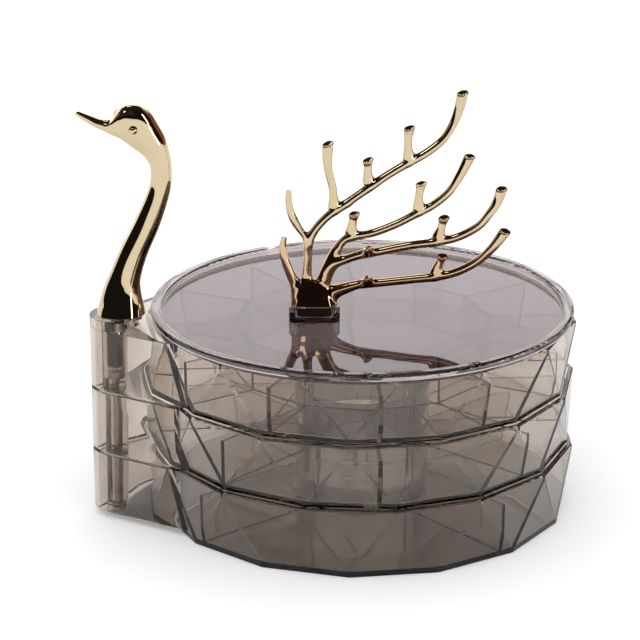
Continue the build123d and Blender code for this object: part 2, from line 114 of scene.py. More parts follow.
# Paths of the branch in millimetres from the middle of its seat: along, across, up
LIMBS = {
    "stem": ((1, 0, 4), (3.2, 0, 9), (5.2, 0.3, 13.5), (7.2, 0.6, 18), (9.5, 1, 23)),
    "first": ((-3, 0, 3), (-3, 0, 12), (-2.7, 0, 20), (-2.2, 0, 27), (1, 0.5, 33), (6, 1.5, 38), (12, 3, 41.8),
              (18.5, 4.5, 46), (24.5, 6, 49.8), (29.5, 7.5, 53), (37.5, 9.5, 57.4), (45, 11, 61.2), (52.5, 13, 66.5),
              (57, 14.5, 73), (59.5, 15, 79.5), (61, 15, 86.4)),
    "second": ((4.5, 0.2, 12), (5.8, 0.5, 16.5), (8.2, 1, 22), (12, 1.5, 27), (16, 2, 28.5), (24.5, 3, 30),
               (34, 4, 33.5), (42, 5, 37.5), (49, 6, 41), (55.5, 6.5, 46.5), (60, 7, 53.5), (64, 7.5, 61.5)),
    "third": ((4.2, 0, 11.5), (6, 0, 15), (8.8, 0, 17.5), (12, 0.5, 18.7), (18.5, 0.5, 21), (27, 1, 22.5),
              (39, 1, 25), (51, 1.5, 26.5), (59.5, 2, 28.5), (67.5, 2, 33), (72.5, 2, 39), (75.5, 2.5, 44),
              (77, 2.5, 49)),
    "fourth": ((3, 0, 4.5), (6.5, 0, 5.5), (11.5, -0.5, 6.5), (18, -0.5, 8.5), (27, -1, 9.5), (39, -1.5, 11),
               (51, -2, 12.5), (59.5, -2.5, 15), (67.5, -2.5, 19.5), (73, -3, 25), (78.5, -3, 32.5)),
    "back": ((-2.3, 0, 26), (-4, 0, 29.5), (-6.8, 0, 33.5), (-9.5, 0, 39), (-10.5, 0, 44.5), (-10.5, 0, 49)),
    "low": ((-6.6, -0.3, 3.5), (-7.6, 0, 8), (-9.5, 0, 12), (-11, 0, 16), (-12.5, 0, 20.5), (-13, 0, 25),
            (-12.5, 0, 29)),
    "left_foot": ((-7.5, -0.6, -0.5), (-6.9, -0.5, 3), (-7.2, -0.3, 7)),
    "right_foot": ((7.3, -0.6, -0.5), (7.2, -0.5, 2.5), (10.5, -0.5, 6), (15, -0.5, 7.6)),
}
# Radii in millimetres: at the root, midway and at the tip, then over which length the tip widens
LIMB_RADII = {
    "stem": (2, 2.3, 0.9, 10), "first": (2.6, 1.8, 2.45, 18), "second": (1.8, 1.75, 2.45, 16),
    "third": (1.8, 1.8, 2.45, 15), "fourth": (2.3, 1.8, 2.45, 15), "back": (0.9, 1.75, 1.2, 14),
    "low": (2.3, 1.9, 1.2, 14), "left_foot": (2.3, 1.9, 1.4, 3), "right_foot": (2.3, 1.9, 1.2, 4),
}
CUT_LIMBS = ("first", "second", "third", "fourth")
TWIGS = (
    ((8.5, 2, 39.5), (8, 2, 42.5), (7.5, 2, 49.5), (5.5, 1.5, 59), (5.5, 1.5, 68.5)),
    ((22.5, 5.5, 49), (22, 5.5, 53.5), (22, 5.5, 60.5)),
    ((39, 9.5, 58), (38.5, 9.5, 66.5), (39, 9.5, 73)),
    ((15, 2, 28), (15.5, 2, 33), (16.5, 2, 38.5)),
    ((43, 5, 38), (43, 5, 44), (44, 5.5, 50.5)),
    ((50, 1.5, 26.5), (52, 1.5, 31.5), (53.5, 1.5, 37)),
    ((49.5, -2, 12), (51, -2, 17), (53, -2, 21.5)),
)
KNOBS = (
    ((20.5, 0.5, 21.3), (21.8, -0.6, 22.8), (22.8, -1.8, 24.2)),
    ((20, -0.5, 8.8), (21.3, -1.6, 10.2), (22.3, -2.8, 11.6)),
)
# The length over which a limb's root slims, and how root and tip curve
ROOT_RUN = 14.0
ROOT_CURVE, TIP_CURVE = 1.3, 1.4
# Twigs and knobs: radius on the limb's axis, the run to the full root and on to a twig's waist, the share of a twig
# where its waist ends, and a knob's radius and the run over which its tip reaches it
TWIG_CORE = 0.5
TWIG_SET_IN = 2.4
TWIG_TAPER = 4.0
TWIG_WAIST_END = 0.55
KNOB_RADIUS, KNOB_RUN = 1.75, 1.0
# Spacing of the samples along a path, and points round a bar
PATH_SPACING = 0.4
BAR_SIDES = 28
# Cut ends: their lean towards the trunk and the front, the length over which a limb turns into its cut, and the
# hollow in it as shares of the radius and depths
CUT_LEAN = Vector((-0.30, -0.35, 0.0))
CUT_RUN = 3.0
HOLLOW = ((0.80, 0.10), (0.60, 0.45), (0.30, 0.80))
# The block at the foot of the limbs: height, middle along, half its length, and half its width before the pressing;
# and how square it is
BUTT = ((-1, 0, 8.3, 6.9), (0, 0, 8, 6.5), (3, -0.3, 7, 5.3), (5.4, -0.5, 6, 4.1),
        (7.8, -0.4, 5.4, 3.2), (9.8, 0.2, 4.6, 2.4))
BUTT_TOP = BUTT[-1][0]
BUTT_POWER = 4.5
# The casting is drawn in round bars and then pressed to this share of its depth
PRESSED = 0.75
# Turn and place of the branch's seat on the lid's socket
BRANCH_TURN = radians(-10.0)
BRANCH_SEAT = (-20.1 * MM, -11.7 * MM, SOCKET_TOP)
# The tenon under the seat: top, chamfer, half its length and half its width, in millimetres; and how square it is
TENON_TOP, TENON_CHAMFER, TENON_LENGTH, TENON_WIDTH = -0.1, 0.6, 7.9, 3.6
TENON_POWER = 5.0
# How widely limbs flow into each other at a fork, how far off that is felt, and where the skin lets go of a cut end
FORK_FLOW = 0.9
FLOW_REACH = 6.0 * FORK_FLOW
CUT_CLEAR, CUT_FADE = 2.4, 1.2
# Relaxing passes on the cut ends and on the whole skin, steps that draw it into place, their longest length and the
# least slope they trust, and the height of the seat's edge
CUT_EASE = 4
POLISH = 4
SKIN_STEPS = 4
LONGEST_STEP, LEAST_SLOPE = 0.6, 0.2
SEAT_EDGE = 0.25

# Underside of the lid's rim, how near a point of it lies, and the hairline of air kept under it
RIM_SEAT = 84.0 * MM
SEAT_REACH = 0.01 * MM
SEAT_GAP = 0.06 * MM
# Cracks closed in a copy of a solid's mesh, and how flat faces are joined in it
WELD = 0.001 * MM
FLAT_ANGLE = radians(0.4)
# Angles between faces: the least of an edge, the largest between the strips of a turned wall, and the least that is
# rounded in full; then the shortest edge that is rounded, and the sleeves' reach from the hinge
CRISP_ANGLE = radians(3.0)
TURNED_STEP = radians(20.0)
SHARP_ANGLE = radians(40.0)
SHORTEST_EDGE = 1.2 * MM
SLEEVE_REACH = 11.2 * MM
# Rounding of the bolt, nut and washer, and of the spacers
STEEL_ROUND, SPACER_ROUND = 0.12 * MM, 0.1 * MM
# An upright direction rises by more than this share of its length
UPRIGHT = 0.999

# Where the tint of the hinge column ends on the trays, and where that of the lid's panel meets its rim, whose lighter
# tint is painted light
COLUMN_REACH, COLUMN_FADE = 22.0 * MM, 8.0 * MM
PANEL_REACH, PANEL_FADE = 83.9 * MM, 0.8 * MM
# Moulded surfaces: scale, strength and height of the flow lines; scale, stretch and roughness of the scratches
FLOW_SCALE, FLOW_STRENGTH, FLOW_HEIGHT = 60.0, 0.07, 0.25 * MM
SCRATCH_SCALE, SCRATCH_STRETCH, SCRATCH_ROUGHNESS = 900.0, (1.0, 1.0, 0.15), 0.006
# Plating: scales of the colour's drift and of the haze, and height of the casting's ripple
DRIFT_SCALE, HAZE_SCALE, RIPPLE_HEIGHT = 45.0, 700.0, 0.1 * MM
# Painted reflection: between these upward shares of the surface's direction the plating turns from a redder painted
# colour on its undersides to its own; between these heights that grows from a share of the way to the whole, so the
# low foot stays redder
PAINTED_REFLECTION_FACING = (-0.6, 0.05)
PAINTED_REFLECTION_HEIGHTS = (SOCKET_TOP + 6.0 * MM, SOCKET_TOP + 36.0 * MM)
PAINTED_REFLECTION_FOOT_SHARE = 0.35
# Spacers: scale, strength and height of the grain, and its two colours
NYLON_SCALE, NYLON_STRENGTH, NYLON_HEIGHT = 1500.0, 0.2, 0.05 * MM
NYLON_TONES = ((0.74, 0.73, 0.70, 1.0), (0.82, 0.81, 0.79, 1.0))

# Window and dark flags that only polished and clear pieces reflect: from and to, low and high, brightness. Bearings
# run clockwise from the far side, heights from the horizon
FLAGS = (
    ("far_window", 305, 398, 6, 42, (1.70, 1.64, 1.665)),
    ("near_flag", 97, 295, 2, 21, (0.01, 0.009, 0.009)),
    ("near_right_flag", 97, 172, 21, 60, (0.012, 0.01, 0.01)),
    ("near_left_flag", 172, 230, 21, 60, (0.03, 0.025, 0.022)),
    ("left_flag", 230, 300, 21, 45, (0.30, 0.26, 0.23)),
    ("far_left_flag", 322, 337, 25, 41, (0.20, 0.18, 0.16)),
    ("far_right_flag", 37, 67, 1, 25, (0.20, 0.10, 0.07)),
    ("right_flag", 67, 97, 1, 46, (0.26, 0.09, 0.05)),
    ("ceiling_flag", 0, 360, 60, 90, (0.02, 0.017, 0.015)),
    ("far_ceiling_flag", 295, 405, 46, 60, (0.06, 0.05, 0.045)),
    ("right_ceiling_flag", 45, 97, 46, 60, (0.03, 0.025, 0.02)),
    ("left_ceiling_flag", 230, 295, 45, 60, (0.04, 0.03, 0.025)),
)
# Lamps in the same measure: bearing, height, width, depth in degrees
LAMPS = (
    ("side_strip", 137, 13, 6, 30),
    ("key_window", 207, 50, 13, 8),
    ("top_window", 0, 62, 8, 5),
)
LAMP_RANGE = 2.3
FLAG_RANGE = 2.6
STAGE_HEART = Vector((0.0, 0.0, 0.09))
# Degrees between the points of a flag, and the brightness from which one is a window, which glass only mirrors
FLAG_STEP = 4.0
WINDOW_LEVEL = 1.0
# The floor's depth under the box, its points round, and the scale and shade of its grain
FLOOR_DROP = 0.2 * MM
FLOOR_SIDES = 96
FLOOR_GRAIN, FLOOR_SHADE = 30.0, 0.99

NUMBER, COLOUR, POINT = "NodeSocketFloat", "NodeSocketColor", "NodeSocketVector"


def number(name, description, default, **limits):
    return FloatProperty(name=name, description=description, default=default, **limits)


def span(name, description, default, least=0.0):
    """Setting for a length, given in millimetres."""
    return number(name, description, default * MM, unit="LENGTH", min=least * MM)


def tone(name, description, default):
    return FloatVectorProperty(name=name, description=description, subtype="COLOR", size=3, min=0.0, max=1.0,
                               default=default)


class AcrylicSettings(bpy.types.PropertyGroup):
    tint: tone("Tint", "Colour of each wall of the upper trays", (0.93, 0.897, 0.863))
    # Painted shade: the lowest tray is the same acrylic as the others, tinted deeper to stand in for the shadowed
    # floor under the box
    base_painted_shade_tint: tone("Base tint", "Colour of each wall of the lowest tray", (0.883, 0.828, 0.78))
    column_tint: tone("Column tint", "Colour of the walls of the hinge column", (0.82, 0.765, 0.715))
    # Painted light: the rim is the same acrylic as the panel, tinted lighter where it catches highlights
    rim_painted_light_tint: tone("Rim tint", "Colour of the lid's rim", (0.74, 0.68, 0.66))
    lid_tint: tone("Lid tint", "Colour of the lid's panel", (0.225, 0.187, 0.20))
    smoke: tone("Smoke", "Light that a thick part of the trays lets through", (0.56, 0.51, 0.455))
    density: number("Density", "Strength of the smoke in the upper trays, per metre", 66.0, min=0.0)
    # Painted shade: the lowest tray's deeper smoke stands in for the shadowed floor under the box
    base_painted_shade_smoke: tone("Base smoke", "Light that the lowest tray lets through", (0.50, 0.43, 0.37))
    base_painted_shade_density: number("Base density", "Strength of the smoke in the lowest tray, per metre", 90.0, min=0.0)
    lid_smoke: tone("Lid smoke", "Light that the lid lets through", (0.40, 0.32, 0.345))
    lid_density: number("Lid density", "Strength of the smoke in the lid, per metre", 60.0, min=0.0)
    edge_round: span("Edge round", "Width of the rounding on sharp moulded edges", 0.18)
    facet_round: span("Facet round", "Width of the rounding between the facets", 0.08)
    edge_steps: IntProperty(name="Edge steps", description="Facets across each rounded edge", min=1, default=2)
    index: number("Refraction", "Index of refraction of the acrylic", 1.49, min=1.0)


class GiltSettings(bpy.types.PropertyGroup):
    colour: tone("Gilt", "Colour of the polished plating", (0.72, 0.595, 0.385))
    # Painted reflection: the redder colour of the branch's undersides and low foot stands in for the dark and gilt
    # they mirror
    underside_painted_reflection: tone("Underside", "Redder colour of the branch's undersides", (0.62, 0.31, 0.18))
    roughness: number("Polish", "Roughness of the plating", 0.03, min=0.0, max=1.0)
    twig_root: span("Twig root", "Radius of the twigs where they leave a limb", 2.4)
    twig_waist: span("Twig waist", "Radius of the twigs midway", 1.75)
    twig_tip: span("Twig tip", "Radius of the twigs' cut ends", 2.45)
    voxel: span("Cast detail", "Grid size that melts limbs and forks together", 0.27, 0.05)
    neck_rings: IntProperty(name="Neck rings", description="Rings along the swan's neck", min=16, default=200)
    neck_sides: IntProperty(name="Neck sides", description="Points round the swan's neck", min=12, default=64)


class StageSettings(bpy.types.PropertyGroup):
    azimuth: number("Azimuth", "Camera's bearing round the box", radians(-10.0), subtype="ANGLE")
    elevation: number("Elevation", "Camera's height above the horizon", radians(19.187), subtype="ANGLE")
    distance: number("Distance", "From the camera to its aim", 1.10, unit="LENGTH")
    aim: FloatVectorProperty(name="Aim", description="Point at the middle of the picture", unit="LENGTH", size=3,
                             default=(-0.0169, 0.0065, 0.0775))
    lens: number("Lens", "Focal length in millimetres on a 36 mm sensor", 146.25)
    floor_colour: tone("Floor", "Colour of the floor", (0.94, 0.94, 0.94))
    floor_radius: number("Floor radius", "Radius of the round floor", 6.0, unit="LENGTH")
    floor_lift: number("Floor lift", "Light added to the floor where the camera sees it", 0.215, min=0.0)
    glass_lift: number("Glass lift", "Light added to the floor seen in glass and metal", 0.03, min=0.0)
    sky_level: number("Sky level", "Strength of the surrounding light", 1.0)
    lamp_level: number("Lamp level", "Brightness of the lamps beside plain white", 4.0, min=0.0)


def feed(tree, node, inputs):
    """Gives a node's inputs their constants, or the outputs of other nodes that feed them."""
    for key, value in inputs.items():
        if isinstance(value, bpy.types.NodeSocket):
            tree.links.new(value, node.inputs[key])
        else:
            node.inputs[key].default_value = value


def add_node(tree, kind, inputs=None, **values):
    node = tree.nodes.new(kind)
    for key, value in values.items():
        setattr(node, key, value)
    feed(tree, node, inputs or {})
    return node


def noise(tree, place, scale, detail):
    return add_node(tree, "ShaderNodeTexNoise", {"Vector": place, "Scale": scale, "Detail": detail}).outputs["Fac"]


def maths(tree, operation, *values, **options):
    return add_node(tree, "ShaderNodeMath", dict(enumerate(values)), operation=operation, **options).outputs["Value"]


def vector_maths(tree, operation, result, *values):
    return add_node(tree, "ShaderNodeVectorMath", dict(enumerate(values)), operation=operation).outputs[result]


def mixed(tree, factor, first, second):
    mix = add_node(tree, "ShaderNodeMix", {"Factor": factor, "A": first, "B": second}, data_type="RGBA")
    return mix.outputs["Result"]


def upward(tree, vector):
    return add_node(tree, "ShaderNodeSeparateXYZ", {"Vector": vector}).outputs["Z"]


def fill_moulded_surface(tree, enter, leave):
    """Polished moulded surface: slight flow lines and fine wiping scratches."""
    place = add_node(tree, "ShaderNodeTexCoord").outputs["Object"]
    streak = add_node(tree, "ShaderNodeMapping", {"Vector": place, "Scale": SCRATCH_STRETCH}).outputs["Vector"]
    fine = noise(tree, streak, SCRATCH_SCALE, detail=4.0)
    feed(tree, leave, {"Roughness": maths(tree, "MULTIPLY", fine, enter["Scratch"]),
                       "Height": noise(tree, place, FLOW_SCALE, detail=2.0)})


def fill_smoke_depth_and_painted_light(tree, enter, leave):
    """Colour that is deeper round an upright axis and clear above a level: on the trays deeper at the hinge column,
    where the moulding is thick or doubled; on the lid the lighter rim and the clear socket above are painted light on
    the panel's acrylic.
    """
    place = add_node(tree, "ShaderNodeTexCoord").outputs["Object"]
    offset = vector_maths(tree, "SUBTRACT", "Vector", place, enter["Axis"])
    level = vector_maths(tree, "MULTIPLY", "Vector", offset, (1.0, 1.0, 0.0))
    past = maths(tree, "SUBTRACT", vector_maths(tree, "LENGTH", "Value", level), enter["Reach"])
    share = maths(tree, "DIVIDE", past, enter["Fade"], use_clamp=True)
    above = maths(tree, "GREATER_THAN", upward(tree, place), enter["Level"])
    clear = maths(tree, "SUBTRACT", above, share, use_clamp=True)
    deep = mixed(tree, share, enter["Near"], enter["Far"])
    feed(tree, leave, {"Colour": mixed(tree, clear, deep, enter["Above"])})


def fill_plating(tree, enter, leave):
    """Mirror plating: faint colour drift, a painted reflection that turns undersides and the low foot redder, haze and
    shallow casting ripple.
    """
    place = add_node(tree, "ShaderNodeTexCoord").outputs["Object"]
    drift = noise(tree, place, DRIFT_SCALE, detail=3.0)
    # Painted reflection: surfaces facing down, and the whole of the low foot in part, take the redder colour
    facing = upward(tree, add_node(tree, "ShaderNodeNewGeometry").outputs["Normal"])
    under = add_node(tree, "ShaderNodeMapRange", {"Value": facing, "From Min": PAINTED_REFLECTION_FACING[0],
                                                  "From Max": PAINTED_REFLECTION_FACING[1]}, interpolation_type="SMOOTHSTEP")
    rise = add_node(tree, "ShaderNodeMapRange", {"Value": upward(tree, place), "From Min": PAINTED_REFLECTION_HEIGHTS[0],
                                                 "From Max": PAINTED_REFLECTION_HEIGHTS[1], "To Min": PAINTED_REFLECTION_FOOT_SHARE})
    plain = maths(tree, "MULTIPLY", under.outputs["Result"], rise.outputs["Result"])
    own = mixed(tree, drift, enter["Colour"], enter["Deep colour"])
    fine = noise(tree, place, HAZE_SCALE, detail=5.0)
    feed(tree, leave, {"Colour": mixed(tree, plain, enter["Painted reflection colour"], own),
                       "Roughness": maths(tree, "MULTIPLY_ADD", fine, enter["Haze"], enter["Polish"]),
                       "Height": drift})


# Node groups that materials share: what fills each, its inputs and its outputs
GROUPS = {
    "Moulded surface": (fill_moulded_surface, {"Scratch": NUMBER}, {"Roughness": NUMBER, "Height": NUMBER}),
    "Smoke depth and painted light": (fill_smoke_depth_and_painted_light, {"Near": COLOUR, "Far": COLOUR, "Above": COLOUR, "Axis": POINT,
                                       "Reach": NUMBER, "Fade": NUMBER, "Level": NUMBER}, {"Colour": COLOUR}),
    "Plating": (fill_plating, {"Colour": COLOUR, "Deep colour": COLOUR, "Painted reflection colour": COLOUR, "Polish": NUMBER,
                               "Haze": NUMBER}, {"Colour": COLOUR, "Roughness": NUMBER, "Height": NUMBER}),
}


def add_group(tree, name, inputs):
    """Outputs of a new node for a shared group, which is built when it is first used."""
    group = bpy.data.node_groups.get(name)
    if group is None:
        fill, *sides = GROUPS[name]
        group = bpy.data.node_groups.new(name, "ShaderNodeTree")
        for way, sockets in zip(("INPUT", "OUTPUT"), sides):
            for label, kind in sockets.items():
                group.interface.new_socket(label, in_out=way, socket_type=kind)
        fill(group, group.nodes.new("NodeGroupInput").outputs, group.nodes.new("NodeGroupOutput"))
    return add_node(tree, "ShaderNodeGroup", inputs, node_tree=group).outputs


def new_material(name):
    """New material with its node tree and its shader."""
    material = bpy.data.materials.new(name)
    material.use_nodes = True
    return material, material.node_tree, material.node_tree.nodes["Principled BSDF"]


def add_relief(tree, shader, height, strength, distance):
    bump = add_node(tree, "ShaderNodeBump", {"Height": height, "Strength": strength, "Distance": distance})
    feed(tree, shader, {"Normal": bump.outputs["Normal"]})


def shaded(colour, share):
    return [part * share for part in colour]


def acrylic(name, tint, deep, smoke, density):
    """Smoked clear acrylic: tinted skin, with more smoke where it is thick."""
    settings = bpy.context.scene.box_acrylic
    material, tree, shader = new_material(name)
    near, (axis, reach, fade, level) = deep
    depth = add_group(tree, "Smoke depth and painted light", {"Near": (*near, 1.0), "Far": (*tint, 1.0), "Above": (*settings.tint, 1.0),
                                            "Axis": axis, "Reach": reach, "Fade": fade, "Level": level})
    surface = add_group(tree, "Moulded surface", {"Scratch": SCRATCH_ROUGHNESS})
    feed(tree, shader, {"Base Color": depth["Colour"], "Roughness": surface["Roughness"], "Metallic": 0.0,
                        "IOR": settings.index, "Transmission Weight": 1.0})
    add_relief(tree, shader, surface["Height"], FLOW_STRENGTH, FLOW_HEIGHT)
    absorb = add_node(tree, "ShaderNodeVolumeAbsorption", {"Color": (*smoke, 1.0), "Density": density})
    feed(tree, tree.nodes["Material Output"], {"Volume": absorb.outputs["Volume"]})
    return material


def plated(name, colour, deep_colour, polish, haze, ripple, under=None):
    """Plated or bare metal; its deeper colour drifts over it, and its undersides may take a redder painted reflection.
    """
    material, tree, shader = new_material(name)
    surface = add_group(tree, "Plating", {"Colour": (*colour, 1.0), "Deep colour": (*deep_colour, 1.0),
                                          "Painted reflection colour": (*(under or colour), 1.0), "Polish": polish, "Haze": haze})
    feed(tree, shader, {"Base Color": surface["Colour"], "Roughness": surface["Roughness"], "Metallic": 1.0})
    add_relief(tree, shader, surface["Height"], ripple, RIPPLE_HEIGHT)
    return material


def dark_casting_and_painted_shade():
    """Dull dark metal of the parts that sit in their sockets: unplated on the neck's plug, and painted shade on the
    branch's tenon, standing in for the dark socket round it.
    """
    return bpy.data.materials.get("Dark casting and painted shade") or plated("Dark casting and painted shade", (0.12, 0.09, 0.07), (0.05, 0.04, 0.03),
                                                           polish=0.3, haze=0.15, ripple=0.3)


def nylon():
    """Natural nylon of the spacers."""
    material, tree, shader = new_material("Natural nylon")
    grain = add_node(tree, "ShaderNodeTexNoise", {"Scale": NYLON_SCALE}).outputs["Fac"]
    ramp = add_node(tree, "ShaderNodeValToRGB", {"Fac": grain})
    for element, colour in zip(ramp.color_ramp.elements, NYLON_TONES):
        element.color = colour
    feed(tree, shader, {"Base Color": ramp.outputs["Color"], "Roughness": 0.45, "Subsurface Weight": 0.1})
    add_relief(tree, shader, grain, NYLON_STRENGTH, NYLON_HEIGHT)
    return material


def add_object(name, data):
    item = bpy.data.objects.new(name, data)
    bpy.context.scene.collection.objects.link(item)
    return item


def place_piece(name, mesh, material, node):
    """Puts a mesh in the scene as the piece that stands for a CAD node."""
    piece = add_object(name, mesh)
    mesh.materials.clear()
    mesh.materials.append(material)
    for polygon in mesh.polygons:
        polygon.material_index = 0
    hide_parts(node)
    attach(piece, BODY_OF[node])


def mesh_from(bm, name):
    bmesh.ops.recalc_face_normals(bm, faces=bm.faces)
    mesh = bpy.data.meshes.new(name)
    bm.to_mesh(mesh)
    bm.free()
    return mesh


def smooth_mesh(bm, name):
    mesh = mesh_from(bm, name)
    mesh.shade_smooth()
    return mesh


def applied(mesh, name, kind, **values):
    """Mesh with a modifier applied."""
    carrier = add_object(name + "_carrier", mesh)
    modifier = carrier.modifiers.new(kind.title(), kind)
    for key, value in values.items():
        setattr(modifier, key, value)
    bpy.context.view_layer.update()
    result = bpy.data.meshes.new_from_object(carrier.evaluated_get(bpy.context.evaluated_depsgraph_get()))
    bpy.data.objects.remove(carrier)
    return result


def cad_copy(node):
    """Copy of a CAD node's mesh, closed and with its flat faces whole, and its layer for the roundings."""
    bm = bmesh.new()
    bm.from_mesh(frame["nodes"][node].data)
    bmesh.ops.remove_doubles(bm, verts=bm.verts, dist=WELD)
    bmesh.ops.dissolve_limit(bm, angle_limit=FLAT_ANGLE, verts=bm.verts, edges=bm.edges,
                             use_dissolve_boundaries=False)
    return bm, bm.edges.layers.float.new("bevel_weight_edge")


def rounded(bm, name, width, steps):
    """Mesh with the roundings that its edges are marked for."""
    return applied(mesh_from(bm, name), name, "BEVEL", limit_method="WEIGHT", width=width, segments=steps,
                   use_clamp_overlap=False)


def is_turned(edge):
    """True for the edges between the strips of a turned wall, which is one smooth surface."""
    if edge.calc_face_angle(0.0) > TURNED_STEP:
        return False
    run = edge.verts[1].co - edge.verts[0].co
    if abs(run.z) > UPRIGHT * run.length:
        return True
    return all((vert.co.xy - HINGE.xy).length < SLEEVE_REACH for vert in edge.verts)


def rounded_copy(node, width, steps, facet_share=1.0):
    """Copy of a CAD node's mesh with every long corner rounded, and turned walls smooth."""
    bm, weight = cad_copy(node)
    soft_faces = set()
    for edge in bm.edges:
        if len(edge.link_faces) != 2 or edge.calc_face_angle(0.0) < CRISP_ANGLE:
            continue
        if is_turned(edge):
            soft_faces.update(edge.link_faces)
        elif edge.calc_length() > SHORTEST_EDGE:
            edge[weight] = 1.0 if edge.calc_face_angle(0.0) > SHARP_ANGLE else facet_share
    for face in bm.faces:
        face.smooth = face in soft_faces
    return rounded(bm, node, width, steps)


def lid_mesh(width, steps):
    """The lid's own mesh with flat panels, smooth turned walls and rounded socket edges."""
    bm, weight = cad_copy("lid")
    for vert in bm.verts:
        if abs(vert.co.z - RIM_SEAT) < SEAT_REACH:
            vert.co.z += SEAT_GAP
    bm.normal_update()
    for edge in bm.edges:
        if len(edge.link_faces) == 2 and edge.calc_face_angle(0.0) > TURNED_STEP:
            edge[weight] = 1.0 if edge.calc_length() > SHORTEST_EDGE else 0.0
    for face in bm.faces:
        face.smooth = abs(face.normal.z) < UPRIGHT
    return rounded(bm, "lid", width, steps)


def curve_point(a, b, c, d, t):
    """Point of a smooth curve between b and c, whose neighbours are a and d."""
    return 0.5 * ((2 * b) + (c - a) * t + (2 * a - 5 * b + 4 * c - d) * t * t + (3 * b - a - 3 * c + d) * t * t * t)


def smooth_path(points):
    """Evenly spaced points along a smooth curve through the given ones, which are drawn before the pressing."""
    points = [Vector((along, across / PRESSED, up)) for along, across, up in points]
    ends = [points[0] * 2 - points[1], *points, points[-1] * 2 - points[-2]]
    path = []
    for a, b, c, d in zip(ends, ends[1:], ends[2:], ends[3:]):
        count = max(2, ceil((c - b).length / PATH_SPACING))
        path.extend(curve_point(a, b, c, d, step / count) for step in range(count))
    return [*path, points[-1]]


def run_lengths(path):
    """Length along a path at each of its points."""
    lengths = [0.0]
    for a, b in zip(path, path[1:]):
        lengths.append(lengths[-1] + (b - a).length)
    return lengths


def add_ring(bm, centre, across, along, half_across, half_along, sides, power=2.0):
    ring = []
    for k in range(sides):
        angle = 2 * pi * k / sides
        right, up = (np.sign(share) * abs(share) ** (2.0 / power) for share in (cos(angle), sin(angle)))
        ring.append(bm.verts.new(centre + across * (half_across * right) + along * (half_along * up)))
    return ring


def close_ring(bm, ring, centre):
    middle = bm.verts.new(centre)
    for vert, after in zip(ring, ring[1:] + ring[:1]):
        bm.faces.new((vert, after, middle))


def bridge(bm, rings, first, last):
    """Walls from ring to ring, and the ends closed to their middles."""
    for lower, upper in zip(rings, rings[1:]):
        for corners in zip(lower, lower[1:] + lower[:1], upper[1:] + upper[:1], upper):
            bm.faces.new(corners)
    close_ring(bm, rings[0], first)
    close_ring(bm, rings[-1], last)


def cut_shift(offset, tangent, share):
    """How far along the tangent a point of a ring moves to lie in the leaning cut."""
    normal = (tangent + CUT_LEAN * share).normalized()
    return tangent * (-offset.dot(normal) / tangent.dot(normal))


def add_bar(bm, path, radii, cut):
    """Closed round bar along a path, its frame carried along without twist; a cut end leans and is hollowed."""
    across = (path[1] - path[0]).normalized().orthogonal().normalized()
    lengths = run_lengths(path)
    rings = []
    for i, point in enumerate(path):
        tangent = (path[min(i + 1, len(path) - 1)] - path[max(i - 1, 0)]).normalized()
        across = (across - tangent * across.dot(tangent)).normalized()
        ring = add_ring(bm, point, across, tangent.cross(across), radii[i], radii[i], BAR_SIDES)
        left = lengths[-1] - lengths[i]
        if cut and left < CUT_RUN:
            for vert in ring:
                vert.co += cut_shift(vert.co - point, tangent, 1.0 - left / CUT_RUN)
        rings.append(ring)
    for share, depth in HOLLOW if cut else ():
        ring = add_ring(bm, path[-1], across, tangent.cross(across), radii[-1] * share, radii[-1] * share, BAR_SIDES)
        for vert in ring:
            vert.co += cut_shift(vert.co - path[-1], tangent, 1.0) - tangent * depth
        rings.append(ring)
    bridge(bm, rings, path[0], path[-1] - tangent * (HOLLOW[-1][1] if cut else 0.0))


def blended(values, t):
    """Smooth interpolation of tuples at an even parameter."""
    i = min(int(t), len(values) - 2)
    near = (values[max(i - 1, 0)], values[i], values[i + 1], values[min(i + 2, len(values) - 1)])
    return [curve_point(*row, t - i) for row in zip(*near)]


def neck_mesh(settings):
    """Swan's neck, head and beak through its sections, with a moulded eye on each cheek."""
    bm = bmesh.new()
    foot = Vector((HINGE.x, 0.0, SLEEVE_TOP + FOOT_LIFT))
    rings, last = [], len(NECK_SECTIONS) - 1
    for step in range(settings.neck_rings + 1):
        along, up, width, thickness, lean, power = blended(NECK_SECTIONS, last * step / settings.neck_rings)
        side = Vector((cos(radians(lean)), 0.0, sin(radians(lean))))
        rings.append(add_ring(bm, foot + Vector((along * MM, 0.0, up * MM)), side, Vector((0.0, 1.0, 0.0)),
                              width / 2 * MM, thickness / 2 * MM, settings.neck_sides, power))
    along, up, *_sizes, lean, _power = NECK_SECTIONS[-1]
    droop = radians(lean - BEAK_DROOP)
    bridge(bm, rings, foot + Vector((NECK_SECTIONS[0][0] * MM, 0.0, 0.0)),
           foot + Vector((along * MM, 0.0, up * MM)) + Vector((-cos(droop), 0.0, sin(droop))) * BEAK_POINT)
    for hand in (-1.0, 1.0):
        eye = foot + Vector((EYE[0], EYE[1] * hand, EYE[2])) * MM
        bmesh.ops.create_uvsphere(bm, u_segments=32, v_segments=20, radius=EYE_RADIUS * MM,
                                  matrix=Matrix.Translation(eye))
    return smooth_mesh(bm, "neck")


def plug_mesh():
    """Round plug under the neck, down in the top sleeve, with a lead-in at its end."""
    bm = bmesh.new()
    bottom = Vector((HINGE.x, 0.0, PLUG_BOTTOM))
    rings = [add_ring(bm, bottom + Vector((0.0, 0.0, height * MM)), Vector((1.0, 0.0, 0.0)), Vector((0.0, 1.0, 0.0)),
                      radius * MM, radius * MM, PLUG_SIDES) for radius, height in PLUG_PROFILE]
    bridge(bm, rings, bottom, Vector((HINGE.x, 0.0, SLEEVE_TOP)))
    return smooth_mesh(bm, "plug")


